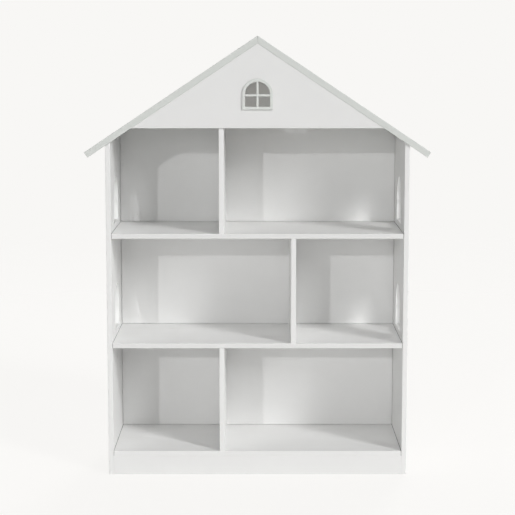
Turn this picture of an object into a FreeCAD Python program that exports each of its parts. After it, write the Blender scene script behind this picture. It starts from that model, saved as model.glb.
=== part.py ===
import FreeCAD
import Part
import math
import os

# Dollhouse bookcase: three open storeys between two side panels, under a gable roof.
# Millimetres, +Z up, +X to the right, the open front faces -Y.
# The origin is on the floor, at the centre of the whole object's footprint.

# ---------------------------------------------------------------- boards
board = 12.0              # side panels, shelves, dividers, plinths and gable
roof_board = 15.0         # roof boards
back_board = 6.0          # back panels
edge_ease = 1.0           # radius of the rounded front edges

# ---------------------------------------------------------------- body
body_width = 726.0        # over the outer faces of the side panels
body_depth = 275.0        # side panels, front edge to rear edge
back_recess = 7.0         # rear edges of the side panels to the rear of the back panels
plinth_height = 46.0      # floor to the underside of the bottom shelf
storey_clear = 255.0      # lower and middle storeys, shelf top to the next shelf's underside
eaves_clear = 219.0       # upper shelf top to the roof's underside, at the side panels
narrow_room = 258.5       # clear width of the narrow room of each storey

# ---------------------------------------------------------------- roof and gable
roof_slope = 2.0 / 3.0    # rise over run
eave_overhang = 50.0      # roof past the side panels' outer faces, at its top face
roof_front = 5.0          # roof forward of the side panels' front edges
gable_setback = 0.5       # gable's front face behind the roof's front edges
gable_corner_inset = 51.0  # side panels' inner faces to the gable's lower corners
ridge_half_width = 24.0   # half of the ridge batten's flat underside
gable_batten = 15.0       # square section of the gable battens

# ---------------------------------------------------------------- windows
frame_thickness = 4.0     # window frames, on the boards' outer faces
side_opening = 98.0       # clear width and height of a side window, inside its frame
side_bar = 12.0           # width of a side frame's ring
side_lip = 7.0            # how far the ring stands inside the hole in the side panel
side_muntin = 6.0         # width of a side frame's glazing bars
side_sill = 14.0          # shelf top to the bottom of the hole in the side panel
gable_opening = 59.0      # the same five sizes for the gable window
gable_bar = 7.0
gable_lip = 3.5
gable_muntin = 5.0
gable_sill = 44.0         # gable's lower edge to the bottom of the frame

# ---------------------------------------------------------------- back panel fit
shadow_gap = 1.2          # gap seen round each back panel
tongue = 3.5              # how far the tongue enters its groove
tongue_thickness = 3.0
groove_end_clearance = 0.3
groove_side_clearance = 0.1

# ---------------------------------------------------------------- fasteners
fix_inset = 45.0          # front and rear edges to the nearest fastener of a joint
dowel_diameter = 6.0
dowel_length = 25.0
dowel_in_face = 8.0       # the dowel's share in the board that it enters through a face
ridge_dowel_diameter = 5.0
ridge_dowel_length = 20.0
ridge_dowel_drop = 13.5   # ridge line to the centre of the ridge dowels
ridge_dowel_count = 4
cam_diameter = 12.0
cam_height = 9.0
cam_pocket_depth = 9.5
cam_setback = 24.0        # shelf end to the centre of the cam lock
cam_clearance = 0.2
cam_recess_diameter = 3.0
cap_diameter = 16.0
cap_thickness = 1.2
bolt_thread_diameter = 5.0
bolt_thread_length = 8.0
bolt_neck_diameter = 3.0
bolt_head_diameter = 6.0
bolt_head_length = 3.0
bolt_bore_diameter = 7.0
screw_diameter = 3.5
screw_head_diameter = 7.0
screw_head_height = 2.6
gable_screw_length = 25.0
ridge_screw_length = 18.0
ridge_screw_count = 3
back_screw_diameter = 3.0
back_screw_length = 20.0
back_screw_head_diameter = 6.5
back_screw_head_height = 2.0
back_screw_margin = 45.0  # divider ends to the nearest back panel screw
back_screw_count = 3
block_cap_gap = 2.0       # glue blocks to the nearest cam cap
block_floor_gap = 6.0     # glue blocks to the floor

# ---------------------------------------------------------------- places
outer_half = body_width / 2.0
inner_half = outer_half - board
eave_half = outer_half + eave_overhang

front_reach = roof_front - gable_setback + frame_thickness
front = (front_reach - body_depth) / 2.0
rear = front + body_depth
roof_y = front - roof_front
gable_y = roof_y + gable_setback
gable_rear = gable_y + board
back_rear = rear - back_recess
back_front = back_rear - back_board
room_depth = back_front - front

bottom_top = plinth_height + board
middle_top = bottom_top + storey_clear + board
upper_top = middle_top + storey_clear + board
shelf_tops = {"bottom": bottom_top, "middle": middle_top, "upper": upper_top}

slope_angle = math.atan(roof_slope)
slope_cos = math.cos(slope_angle)
slope_sin = math.sin(slope_angle)
ridge_under = upper_top + eaves_clear + roof_slope * inner_half
ridge_top = ridge_under + roof_board / slope_cos
gable_half = inner_half - gable_corner_inset
gable_base = ridge_under - roof_slope * gable_half

divider_centre = inner_half - narrow_room - board / 2.0
fix_depths = (front + fix_inset, rear - fix_inset)
block_size = fix_inset - board - cap_diameter / 2.0 - block_cap_gap
middle_depth = (front + rear) / 2.0


def vec(x, y, z):
    return FreeCAD.Vector(x, y, z)


def underside(x):
    """Height of the roof boards' underside at distance x from the centre."""
    return ridge_under - roof_slope * abs(x)


def box(x0, x1, y0, y1, z0, z1):
    return Part.makeBox(x1 - x0, y1 - y0, z1 - z0, vec(x0, y0, z0))


def prism(points, y0, y1):
    """Closed outline of (x, z) points, extruded from y0 to y1."""
    corners = [vec(x, y0, z) for x, z in points]
    face = Part.Face(Part.makePolygon(corners + corners[:1]))
    return face.extrude(vec(0, y1 - y0, 0))


def along(shape, origin, direction):
    """A shape built along +Z from 0,0,0, moved to origin and turned to direction."""
    placed = shape.copy()
    placed.Placement = FreeCAD.Placement(origin, FreeCAD.Rotation(vec(0, 0, 1), direction))
    return placed


def rod(diameter, length, origin, direction):
    """Round rod from origin along direction."""
    return Part.makeCylinder(diameter / 2.0, length, origin, direction)


def ease_front(shape, y):
    """Rounds the straight edges that lie on the plane Y = y."""
    edges = []
    for edge in shape.Edges:
        if all(abs(vertex.Y - y) < 1e-6 for vertex in edge.Vertexes):
            edges.append(edge)
    return shape.makeFillet(edge_ease, edges)


def cut_all(shape, tools):
    for tool in tools:
        shape = shape.cut(tool)
    return shape


# ---------------------------------------------------------------- arched windows
def arch(width, height, thickness):
    """Rectangle under a half circle, centred on X, from Z = 0, extruded along +Y."""
    radius = width / 2.0
    spring = height - radius
    bottom = Part.LineSegment(vec(-radius, 0, 0), vec(radius, 0, 0)).toShape()
    right = Part.LineSegment(vec(radius, 0, 0), vec(radius, 0, spring)).toShape()
    top = Part.Arc(vec(radius, 0, spring), vec(0, 0, height), vec(-radius, 0, spring)).toShape()
    left = Part.LineSegment(vec(-radius, 0, spring), vec(-radius, 0, 0)).toShape()
    face = Part.Face(Part.Wire([bottom, right, top, left]))
    return face.extrude(vec(0, thickness, 0))


def arch_grown(opening, growth, thickness):
    """The arched opening, larger by growth on all its sides, with the opening's own origin."""
    grown = arch(opening + 2 * growth, opening + 2 * growth, thickness)
    grown.translate(vec(0, 0, -growth))
    return grown


def window_frame(opening, bar, muntin):
    """Arched ring with a cross of glazing bars; its origin is the opening's bottom centre."""
    ring = arch_grown(opening, bar, frame_thickness)
    ring = ring.cut(arch(opening, opening, frame_thickness))
    reach = bar / 2.0
    half = opening / 2.0
    spring = opening - half
    upright = box(-muntin / 2, muntin / 2, 0, frame_thickness, -reach, opening + reach)
    cross = box(-half - reach, half + reach, 0, frame_thickness, spring - muntin, spring)
    return ring.fuse([upright, cross]).removeSplitter()


def window_place(side, shelf_top):
    """Placement of a side window: local +Y points out of the side panel."""
    origin = vec(side * outer_half, middle_depth, shelf_top + side_sill + side_lip)
    return FreeCAD.Placement(origin, FreeCAD.Rotation(vec(0, 0, 1), -90.0 * side))


def side_frame(side, shelf_top):
    frame = window_frame(side_opening, side_bar, side_muntin)
    frame.Placement = window_place(side, shelf_top)
    return frame


def side_hole(side, shelf_top):
    """The hole through a side panel; it runs past both faces."""
    hole = arch_grown(side_opening, side_lip, 3 * board)
    hole.translate(vec(0, -2 * board, 0))
    hole.Placement = window_place(side, shelf_top).multiply(hole.Placement)
    return hole


# ---------------------------------------------------------------- back panels
def storey_outline(floor, ceiling, growth):
    """A storey's clear opening in X and Z, grown on all its sides. No ceiling: up to the roof."""
    half = inner_half + growth
    low = floor - growth
    if ceiling is not None:
        high = ceiling + growth
        return [(-half, low), (half, low), (half, high), (-half, high)]
    lift = growth / slope_cos
    eave = underside(half) + lift
    return [(-half, low), (half, low), (half, eave), (0, ridge_under + lift), (-half, eave)]


def back_panel(floor, ceiling):
    """Panel that stops short of its storey by the shadow gap, with a tongue behind it."""
    core = prism(storey_outline(floor, ceiling, -shadow_gap), back_front, back_rear)
    tongue_front = back_rear - tongue_thickness
    rim = prism(storey_outline(floor, ceiling, tongue), tongue_front, back_rear)
    return core.fuse(rim).removeSplitter()


def back_groove(floor, ceiling):
    tongue_front = back_rear - tongue_thickness - groove_side_clearance
    tongue_rear = back_rear + groove_side_clearance
    outline = storey_outline(floor, ceiling, tongue + groove_end_clearance)
    return prism(outline, tongue_front, tongue_rear)


storeys = {
    "lower": (bottom_top, middle_top - board),
    "middle": (middle_top, upper_top - board),
    "upper": (upper_top, None),
}
grooves = [back_groove(*storeys[name]) for name in storeys]


# ---------------------------------------------------------------- fasteners
def countersunk_screw(length, diameter=screw_diameter, head=screw_head_diameter,
                      head_height=screw_head_height):
    """Head top at the origin, tip at +Z."""
    shank = Part.makeCylinder(diameter / 2.0, length)
    cone = Part.makeCone(head / 2.0, diameter / 2.0, head_height)
    return shank.fuse(cone).removeSplitter()


def back_screw():
    """Flat head on the panel's rear face, at the origin, shank along +Z."""
    shank = Part.makeCylinder(back_screw_diameter / 2.0, back_screw_length)
    head = Part.makeCylinder(back_screw_head_diameter / 2.0, back_screw_head_height,
                             vec(0, 0, -back_screw_head_height))
    return shank.fuse(head).removeSplitter()


def cam_bolt(side, y, z):
    """Threaded end in the side panel, neck and head inside the cam lock."""
    inward = vec(-side, 0, 0)
    face = side * inner_half
    thread = rod(bolt_thread_diameter, bolt_thread_length,
                 vec(face + side * bolt_thread_length, y, z), inward)
    neck = rod(bolt_neck_diameter, cam_setback, vec(face, y, z), inward)
    head = rod(bolt_head_diameter, bolt_head_length,
               vec(face - side * (cam_setback - bolt_head_length / 2), y, z), inward)
    return thread.fuse([neck, head]).removeSplitter()


def cam_lock(side, y, shelf_top):
    """Disc in the shelf's underside, slotted for the bolt's neck and hollow for its head."""
    centre = side * (inner_half - cam_setback)
    low = shelf_top - board
    disc = rod(cam_diameter, cam_height, vec(centre, y, low), vec(0, 0, 1))
    axis_z = shelf_top - board / 2.0
    slot_half = bolt_neck_diameter / 2.0 + cam_clearance
    edge = centre + side * cam_diameter
    slot = box(min(centre, edge), max(centre, edge), y - slot_half, y + slot_half,
               axis_z - slot_half, low + cam_height)
    hollow_half = bolt_head_diameter / 2.0 + cam_clearance
    hollow = rod(2 * hollow_half, bolt_head_length + 2 * cam_clearance,
                 vec(centre + side * (bolt_head_length / 2 + cam_clearance), y, axis_z),
                 vec(-side, 0, 0))
    recess = rod(cam_recess_diameter, cap_thickness, vec(centre, y, low), vec(0, 0, 1))
    return cut_all(disc, [slot, hollow, recess])


def cam_cap(side, y, shelf_top):
    """Flat cap on the shelf's underside, with a stub in the cam lock's recess."""
    centre = vec(side * (inner_half - cam_setback), y, shelf_top - board)
    lid = rod(cap_diameter, cap_thickness, centre, vec(0, 0, -1))
    stub = rod(cam_recess_diameter, cap_thickness, centre, vec(0, 0, 1))
    return lid.fuse(stub).removeSplitter()


def cam_pocket(side, y, shelf_top):
    """Room for a cam lock and for its bolt in the end of a shelf."""
    centre = side * (inner_half - cam_setback)
    pocket = rod(cam_diameter + 2 * cam_clearance, cam_pocket_depth,
                 vec(centre, y, shelf_top - board), vec(0, 0, 1))
    bore = rod(bolt_bore_diameter, cam_setback,
               vec(side * inner_half, y, shelf_top - board / 2.0), vec(-side, 0, 0))
    return pocket.fuse(bore)


def ridge_screws():
    """Screws through the ridge batten's flat underside, square to the roof boards."""
    screws = []
    span = (back_front - fix_inset) - (gable_rear + fix_inset)
    low = ridge_under - roof_slope * ridge_half_width
    for side in (-1, 1):
        for i in range(ridge_screw_count):
            y = gable_rear + fix_inset + span * i / (ridge_screw_count - 1)
            head = vec(side * ridge_half_width / 2.0, y, low)
            screws.append(along(countersunk_screw(ridge_screw_length), head,
                                vec(side * slope_sin, 0, slope_cos)))
    return screws


def on_slope(side, run, drop):
    """Point under a roof board: run down its underside from the ridge, drop square to it."""
    x = run * slope_cos - drop * slope_sin
    z = ridge_under - run * slope_sin - drop * slope_cos
    return side * x, z


batten_start = ridge_half_width / slope_cos + 2 * gable_batten
batten_end = (gable_half / slope_cos) - 2 * gable_batten
batten_runs = (batten_start + gable_batten, batten_end - gable_batten)


def gable_batten_bar(side):
    """Square batten along the roof board's underside, against the gable's rear face."""
    outline = [on_slope(side, batten_start, 0), on_slope(side, batten_end, 0),
               on_slope(side, batten_end, gable_batten),
               on_slope(side, batten_start, gable_batten)]
    return prism(outline, gable_rear, gable_rear + gable_batten)


def gable_batten_screws():
    """At each end of a batten, one screw into the roof board and one into the gable."""
    screws = []
    step = 2 * screw_diameter
    for side in (-1, 1):
        for run in batten_runs:
            x, z = on_slope(side, run - step, gable_batten)
            screws.append(along(countersunk_screw(gable_screw_length),
                                vec(x, gable_rear + gable_batten / 2.0, z),
                                vec(side * slope_sin, 0, slope_cos)))
            x, z = on_slope(side, run + step, gable_batten / 2.0)
            screws.append(along(countersunk_screw(gable_screw_length),
                                vec(x, gable_rear + gable_batten, z), vec(0, -1, 0)))
    return screws


def divider_dowels(x, floor, ceiling):
    """Upright dowels in both ends of a divider."""
    dowels = []
    for y in fix_depths:
        bottom = vec(x, y, floor - dowel_in_face)
        top = vec(x, y, ceiling + dowel_in_face)
        dowels.append(rod(dowel_diameter, dowel_length, bottom, vec(0, 0, 1)))
        dowels.append(rod(dowel_diameter, dowel_length, top, vec(0, 0, -1)))
    return dowels


def end_dowel(side, y, z):
    """Level dowel from a side panel's inner face into the end of a shelf or plinth."""
    start = vec(side * (inner_half + dowel_in_face), y, z)
    return rod(dowel_diameter, dowel_length, start, vec(-side, 0, 0))


def roof_dowels():
    """Upright dowels from the side panels' tops into the roof boards."""
    dowels = []
    for side in (-1, 1):
        x = side * (inner_half + board / 2.0)
        for y in (fix_depths[0], middle_depth, fix_depths[1]):
            top = vec(x, y, underside(x) + dowel_in_face)
            dowels.append(rod(dowel_diameter, dowel_length, top, vec(0, 0, -1)))
    return dowels


def ridge_dowels():
    """Level dowels across the mitre at the ridge."""
    dowels = []
    span = (back_front - fix_inset / 2.0) - (front + fix_inset / 2.0)
    for i in range(ridge_dowel_count):
        y = front + fix_inset / 2.0 + span * i / (ridge_dowel_count - 1)
        start = vec(-ridge_dowel_length / 2.0, y, ridge_top - ridge_dowel_drop)
        dowels.append(rod(ridge_dowel_diameter, ridge_dowel_length, start, vec(1, 0, 0)))
    return dowels


def back_screws(x, floor, ceiling):
    """Screws through a back panel into the rear edge of a divider."""
    screws = []
    span = ceiling - floor - 2 * back_screw_margin
    for i in range(back_screw_count):
        z = floor + back_screw_margin + span * i / (back_screw_count - 1)
        screws.append(along(back_screw(), vec(x, back_rear, z), vec(0, -1, 0)))
    return screws


# Where each divider stands, and the heights that it runs between.
divider_x = {"lower": -divider_centre, "middle": divider_centre, "upper": -divider_centre}
divider_top = {"lower": storeys["lower"][1], "middle": storeys["middle"][1],
               "upper": underside(divider_centre)}

fasteners = {
    "cam_bolts": [], "cam_locks": [], "cam_caps": [], "shelf_dowels": [],
    "plinth_dowels": [], "divider_dowels": [], "back_panel_screws": [],
    "roof_dowels": roof_dowels(), "ridge_dowels": ridge_dowels(),
    "ridge_screws": ridge_screws(), "gable_batten_screws": gable_batten_screws(),
}
cam_pockets = []
for side in (-1, 1):
    for shelf_top in shelf_tops.values():
        axis_z = shelf_top - board / 2.0
        fasteners["shelf_dowels"].append(end_dowel(side, middle_depth, axis_z))
        for y in fix_depths:
            fasteners["cam_bolts"].append(cam_bolt(side, y, axis_z))
            fasteners["cam_locks"].append(cam_lock(side, y, shelf_top))
            fasteners["cam_caps"].append(cam_cap(side, y, shelf_top))
            cam_pockets.append(cam_pocket(side, y, shelf_top))
    for y in (front + board / 2.0, rear - board / 2.0):
        fasteners["plinth_dowels"].append(end_dowel(side, y, plinth_height / 2.0))
for name in storeys:
    x = divider_x[name]
    fasteners["divider_dowels"] += divider_dowels(x, storeys[name][0], divider_top[name])
    fasteners["back_panel_screws"] += back_screws(x, storeys[name][0], divider_top[name])


# ---------------------------------------------------------------- boards
def side_panel(side):
    outline = [(side * outer_half, 0), (side * inner_half, 0),
               (side * inner_half, underside(inner_half)),
               (side * outer_half, underside(outer_half))]
    panel = ease_front(prism(outline, front, rear), front)
    panel = cut_all(panel, [side_hole(side, middle_top), side_hole(side, upper_top)] + grooves)
    tools = fasteners["cam_bolts"] + fasteners["shelf_dowels"]
    return cut_all(panel, tools + fasteners["plinth_dowels"] + fasteners["roof_dowels"])


def shelf(shelf_top):
    plank = box(-inner_half, inner_half, front, rear, shelf_top - board, shelf_top)
    plank = cut_all(ease_front(plank, front), grooves + cam_pockets)
    return cut_all(plank, fasteners["shelf_dowels"] + fasteners["divider_dowels"])


def divider(name, gable_parts):
    """Upright between two shelves; the upper one runs up to the roof, behind the gable."""
    x = divider_x[name]
    left, right = x - board / 2.0, x + board / 2.0
    floor, ceiling = storeys[name]
    if ceiling is None:
        outline = [(left, floor), (right, floor), (right, underside(right)),
                   (left, underside(left))]
    else:
        outline = [(left, floor), (right, floor), (right, ceiling), (left, ceiling)]
    upright = ease_front(prism(outline, front, back_front), front)
    upright = cut_all(upright, gable_parts)
    return cut_all(upright, fasteners["divider_dowels"] + fasteners["back_panel_screws"])


def plinth(y0):
    rail = box(-inner_half, inner_half, y0, y0 + board, 0, plinth_height)
    if y0 == front:
        rail = ease_front(rail, front)
    return cut_all(rail, fasteners["plinth_dowels"])


def plinth_blocks():
    """Glue blocks in the four corners under the bottom shelf."""
    blocks = []
    for side in (-1, 1):
        x0, x1 = sorted((side * inner_half, side * (inner_half - block_size)))
        for y0 in (front + board, rear - board - block_size):
            blocks.append(box(x0, x1, y0, y0 + block_size, block_floor_gap, plinth_height))
    dowels = Part.makeCompound(fasteners["plinth_dowels"])
    return [block.cut(dowels) for block in blocks]


def roof(side):
    end = (side * eave_half, ridge_top - roof_slope * eave_half)
    low_end = (end[0] - side * roof_board * slope_sin, end[1] - roof_board * slope_cos)
    outline = [(0, ridge_under), (0, ridge_top), end, low_end]
    plank = ease_front(prism(outline, roof_y, rear), roof_y)
    plank = cut_all(plank, [grooves[-1]] + fasteners["roof_dowels"] + fasteners["ridge_dowels"])
    plank = cut_all(plank, fasteners["ridge_screws"] + fasteners["gable_batten_screws"])
    return cut_all(plank, fasteners["divider_dowels"])


def gable():
    outline = [(-gable_half, gable_base), (gable_half, gable_base), (0, ridge_under)]
    panel = ease_front(prism(outline, gable_y, gable_rear), gable_y)
    hole = arch_grown(gable_opening, gable_lip, 3 * board)
    hole.translate(vec(0, gable_y - board, gable_base + gable_sill + gable_bar))
    return cut_all(panel, [hole] + fasteners["gable_batten_screws"])


def gable_frame():
    frame = window_frame(gable_opening, gable_bar, gable_muntin)
    frame.translate(vec(0, gable_y - frame_thickness, gable_base + gable_sill + gable_bar))
    return frame


def ridge_batten():
    low = ridge_under - roof_slope * ridge_half_width
    outline = [(-ridge_half_width, low), (ridge_half_width, low), (0, ridge_under)]
    return cut_all(prism(outline, gable_rear, back_front), fasteners["ridge_screws"])


def build():
    """Every node, by name."""
    nodes = {}
    sides = {"left": -1, "right": 1}
    for name, side in sides.items():
        nodes[name + "_side_panel"] = side_panel(side)
        nodes["roof_" + name] = roof(side)
        nodes["gable_batten_" + name] = cut_all(gable_batten_bar(side),
                                                fasteners["gable_batten_screws"])
        nodes[name + "_middle_window_frame"] = side_frame(side, middle_top)
        nodes[name + "_upper_window_frame"] = side_frame(side, upper_top)
    for name, shelf_top in shelf_tops.items():
        nodes[name + "_shelf"] = shelf(shelf_top)
    nodes["ridge_batten"] = ridge_batten()
    nodes["gable_panel"] = gable()
    nodes["gable_window_frame"] = gable_frame()
    in_the_way = [nodes["gable_panel"], nodes["gable_batten_left"],
                  nodes["gable_batten_right"], nodes["ridge_batten"]]
    for name in storeys:
        nodes[name + "_divider"] = divider(name, in_the_way)
        nodes[name + "_back_panel"] = cut_all(back_panel(*storeys[name]),
                                              fasteners["back_panel_screws"])
    nodes["plinth_front"] = plinth(front)
    nodes["plinth_rear"] = plinth(rear - board)
    nodes["plinth_blocks"] = Part.makeCompound(plinth_blocks())
    for name, solids in fasteners.items():
        nodes[name] = Part.makeCompound(solids)
    return nodes


def main():
    os.makedirs("parts", exist_ok=True)
    for name, shape in build().items():
        shape.exportStep("parts/" + name + ".step")
        print(name, len(shape.Solids), round(shape.Volume), shape.isValid())
    print("ridge height", round(ridge_top, 1), "room depth", round(room_depth, 1))


main()
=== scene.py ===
"""Finishes, mouldings, fittings and studio for the wooden dollhouse bookcase."""

import functools
import math

import bmesh
import bpy
import numpy as np
from bpy.props import FloatProperty, FloatVectorProperty, IntProperty, PointerProperty
from bpy.types import Operator, Panel, PropertyGroup
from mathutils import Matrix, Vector


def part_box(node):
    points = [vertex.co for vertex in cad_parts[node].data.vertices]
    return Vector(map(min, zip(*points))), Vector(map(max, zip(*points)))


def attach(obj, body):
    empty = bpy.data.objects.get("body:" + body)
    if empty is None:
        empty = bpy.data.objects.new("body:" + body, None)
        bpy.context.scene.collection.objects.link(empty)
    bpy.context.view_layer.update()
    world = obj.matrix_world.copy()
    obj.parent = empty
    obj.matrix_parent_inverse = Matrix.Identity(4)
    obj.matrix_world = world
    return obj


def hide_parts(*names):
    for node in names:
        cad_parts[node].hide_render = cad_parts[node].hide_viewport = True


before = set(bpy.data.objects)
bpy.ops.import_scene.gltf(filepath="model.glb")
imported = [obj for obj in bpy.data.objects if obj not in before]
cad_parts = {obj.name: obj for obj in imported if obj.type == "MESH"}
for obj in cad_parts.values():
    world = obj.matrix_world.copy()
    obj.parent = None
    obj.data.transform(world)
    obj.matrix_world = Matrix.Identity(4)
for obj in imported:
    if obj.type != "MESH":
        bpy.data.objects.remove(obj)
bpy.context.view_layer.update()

bl_info = {
    "name": "Dollhouse Bookcase",
    "version": (1, 0, 0),
    "blender": (4, 5, 0),
    "location": "3D Viewport > Sidebar > Dollhouse",
    "description": "Lacquered boards, arched windows, fittings and studio of a wooden dollhouse",
    "category": "Object",
}

MM = 0.001
SLOPE = math.atan(2.0 / 3.0)
SIDES = {"left": -1.0, "right": 1.0}


# ---------------------------------------------------------------- sizes and colours


def colour(name, description, value):
    """A colour property, linear red, green and blue."""
    return FloatVectorProperty(name=name, description=description, default=value, size=3,
                               subtype="COLOR", min=0.0, max=1.0)


def length(name, description, millimetres):
    """A length property, in metres, from its default in millimetres."""
    return FloatProperty(name=name, description=description, default=millimetres * MM,
                         min=0.0, unit="LENGTH")


class DollhouseFinishes(PropertyGroup):
    """Colours and surface of the paint, wood and metal. The shelf, front, gable, edge and reveal
    whites are lit or shaded copies of the white lacquer, painted light and shade.
    """

    white: colour("White lacquer", "Side panels, dividers and back panels", (0.85, 0.85, 0.843))
    # Painted light: a lighter copy of the white for the shelves' tops, for the light that falls on
    # them.
    shelf_white: colour("Shelf white", "Shelves, painted lighter for the light on their tops", (0.915, 0.915, 0.908))
    # Painted shade: a darker copy of the white for the plinth and the boards' front edges.
    front_white: colour("Front white", "Plinth, edges of the sides", (0.77, 0.77, 0.763))
    # Painted shade: a darker copy of the white for the gable.
    gable_white: colour("Gable white", "Gable", (0.75, 0.75, 0.743))
    # Painted shade: a darker copy of the white for the middle and upper shelves' front edges.
    edge_white: colour("Edge white", "Shelves' edges, painted darker for shade", (0.73, 0.73, 0.722))
    # Painted light: a lighter copy of the white for the side windows' reveals, for the light
    # through the windows.
    reveal_lit_white: colour("Reveal white", "Inside the side windows' openings",
                         (0.95, 0.95, 0.943))
    grey: colour("Grey lacquer", "Roof boards", (0.65, 0.67, 0.645))
    frames: colour("Frame lacquer", "Window frames", (0.655, 0.675, 0.65))
    pine: colour("Pine", "Battens and glue blocks, early wood", (0.72, 0.52, 0.32))
    beech: colour("Beech", "Dowels", (0.70, 0.50, 0.33))
    zinc: colour("Zinc plate", "Screws and cam bolts", (0.62, 0.62, 0.63))
    cast: colour("Cast zinc", "Cam locks", (0.56, 0.56, 0.57))
    plastic: colour("Plastic", "Cam covers", (0.82, 0.82, 0.81))
    stipple: length("Roller stipple", "Size of the roller's orange peel", 2.4)
    satin: FloatProperty(name="Satin", description="Roughness of the lacquer where it is glossiest",
                         default=0.55, min=0.0, max=1.0, subtype="FACTOR")


class DollhouseWindows(PropertyGroup):
    """Sizes of the arched window frames."""

    side_opening: length("Side opening", "Clear width and height of a side window", 98.0)
    side_ring: length("Side ring", "Width of a side window's ring", 12.0)
    side_bar: length("Side bar", "Width of a side window's glazing bars", 6.0)
    gable_opening: length("Gable opening", "Clear width and height of the gable window", 59.0)
    gable_ring: length("Gable ring", "Width of the gable window's ring", 7.0)
    gable_bar: length("Gable bar", "Width of the gable window's glazing bars", 5.0)
    edge: length("Rounded edge", "Radius of the frames' outer edges", 1.0)
    steps: IntProperty(name="Arch steps", description="Divisions of a half circle",
                       default=48, min=8)


class DollhouseFittings(PropertyGroup):
    """Sizes of the screws and dowels that the pieces keep inside the CAD solids."""

    recess: length("Recess depth", "Depth of the cross recess in a screw's head", 1.3)
    pitch: length("Thread pitch", "Distance between a screw's turns", 1.4)
    flutes: IntProperty(name="Flutes", description="Grooves round a dowel", default=16, min=6)
    flute_depth: length("Flute depth", "Depth of a dowel's grooves", 0.18)


class DollhouseStudio(PropertyGroup):
    """Camera, lights and floor."""

    distance: length("Camera distance", "Camera to the middle of the bookcase", 3780.0)
    height: length("Camera height", "Floor to the camera", 1046.0)
    tilt: FloatProperty(name="Camera tilt", description="Downward tilt of the camera",
                        default=math.radians(7.4), subtype="ANGLE")
    lens: FloatProperty(name="Lens", description="Focal length on a 36 mm sensor",
                        default=107.2, unit="CAMERA")
    shift: FloatProperty(name="Lens shift", description="Upright shift of the lens",
                         default=-0.03)
    backdrop: colour("Backdrop", "Colour of the studio round the object",
                     (0.939, 0.930, 0.913))
    ambient: FloatProperty(name="Room light", description="Strength of the light from all sides",
                           default=0.118, min=0.0)
    rear: FloatProperty(name="Rear light", description="Strength of the light from behind",
                        default=0.7, min=0.0)
    lamps: FloatProperty(name="Lamps", description="Strength of all the lamps together",
                         default=0.97, min=0.0)
    shadow: FloatProperty(name="Floor shadow", description="How much of the shadow the floor shows",
                          default=0.13, min=0.0, max=1.0, subtype="FACTOR")


# ---------------------------------------------------------------- surfaces


def grid_faces(rows, columns, wrap_rows, wrap_columns, start):
    """Corner numbers of the four-sided faces of a rows by columns grid of points."""
    r = np.arange(rows if wrap_rows else rows - 1)[:, None]
    c = np.arange(columns if wrap_columns else columns - 1)[None, :]
    r1, c1 = (r + 1) % rows, (c + 1) % columns
    corners = np.stack([r * columns + c, r * columns + c1, r1 * columns + c1, r1 * columns + c], -1)
    return corners.reshape(-1, 4) + start


def piece(name, surfaces, stands_for, material, sharp=35.0):
    """One shown piece from several surfaces, each (points[rows, columns, 3], wrap_rows,
    wrap_columns). Equal points are merged, so seams and poles close, and faces turn outwards."""
    points, faces, start = [], [], 0
    for grid, wrap_rows, wrap_columns in surfaces:
        rows, columns = grid.shape[:2]
        points.append(grid.reshape(-1, 3))
        faces.append(grid_faces(rows, columns, wrap_rows, wrap_columns, start))
        start += rows * columns
    points, faces = np.concatenate(points), np.concatenate(faces)
    mesh = bpy.data.meshes.new(name)
    mesh.vertices.add(len(points))
    mesh.vertices.foreach_set("co", points.astype(np.float32).ravel())
    mesh.loops.add(faces.size)
    mesh.loops.foreach_set("vertex_index", faces.astype(np.int32).ravel())
    mesh.polygons.add(len(faces))
    mesh.polygons.foreach_set("loop_start", np.arange(0, faces.size, 4, dtype=np.int32))
    mesh.polygons.foreach_set("use_smooth", np.ones(len(faces), bool))
    mesh.update(calc_edges=True)
    shell = bmesh.new()
    shell.from_mesh(mesh)
    bmesh.ops.remove_doubles(shell, verts=shell.verts, dist=1e-6)
    bmesh.ops.recalc_face_normals(shell, faces=shell.faces)
    shell.to_mesh(mesh)
    shell.free()
    mesh.set_sharp_from_angle(angle=math.radians(sharp))
    mesh.materials.append(material)
    made = bpy.data.objects.new(name, mesh)
    bpy.context.scene.collection.objects.link(made)
    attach(made, "root")
    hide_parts(stands_for)
    return made


def rounded(corners, radii, steps=4):
    """A closed outline whose corners are quarter-like arcs: each corner c with neighbours p and n
    becomes the curve (1-t)^2 a + 2 t (1-t) c + t^2 b, where a and b lie a radius away from c."""
    c = np.array(corners, float)
    back, ahead = np.roll(c, 1, axis=0) - c, np.roll(c, -1, axis=0) - c
    radius = np.array(radii, float)[:, None]
    a = c + back / np.linalg.norm(back, axis=1, keepdims=True) * radius
    b = c + ahead / np.linalg.norm(ahead, axis=1, keepdims=True) * radius
    t = np.linspace(0.0, 1.0, steps + 1)[None, :, None]
    curve = (1 - t) ** 2 * a[:, None] + 2 * t * (1 - t) * c[:, None] + t ** 2 * b[:, None]
    return curve.reshape(-1, c.shape[1])


def arch_outline(steps):
    """The outline of half width 1 round the centre of its arch: a square's bottom and sides up
    to the springing line, then the half circle (cos a, sin a) from one side to the other."""
    flat = np.linspace(0.0, 1.0, 9)[:-1, None]
    bottom = (1 - flat) * [-1.0, -1.0] + flat * [1.0, -1.0]
    up = (1 - flat) * [1.0, -1.0] + flat * [1.0, 0.0]
    down = (1 - flat) * [-1.0, 0.0] + flat * [-1.0, -1.0]
    a = np.linspace(0.0, math.pi, steps + 1)[:-1]
    return np.concatenate([bottom, up, np.stack([np.cos(a), np.sin(a)], 1), down])


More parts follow.
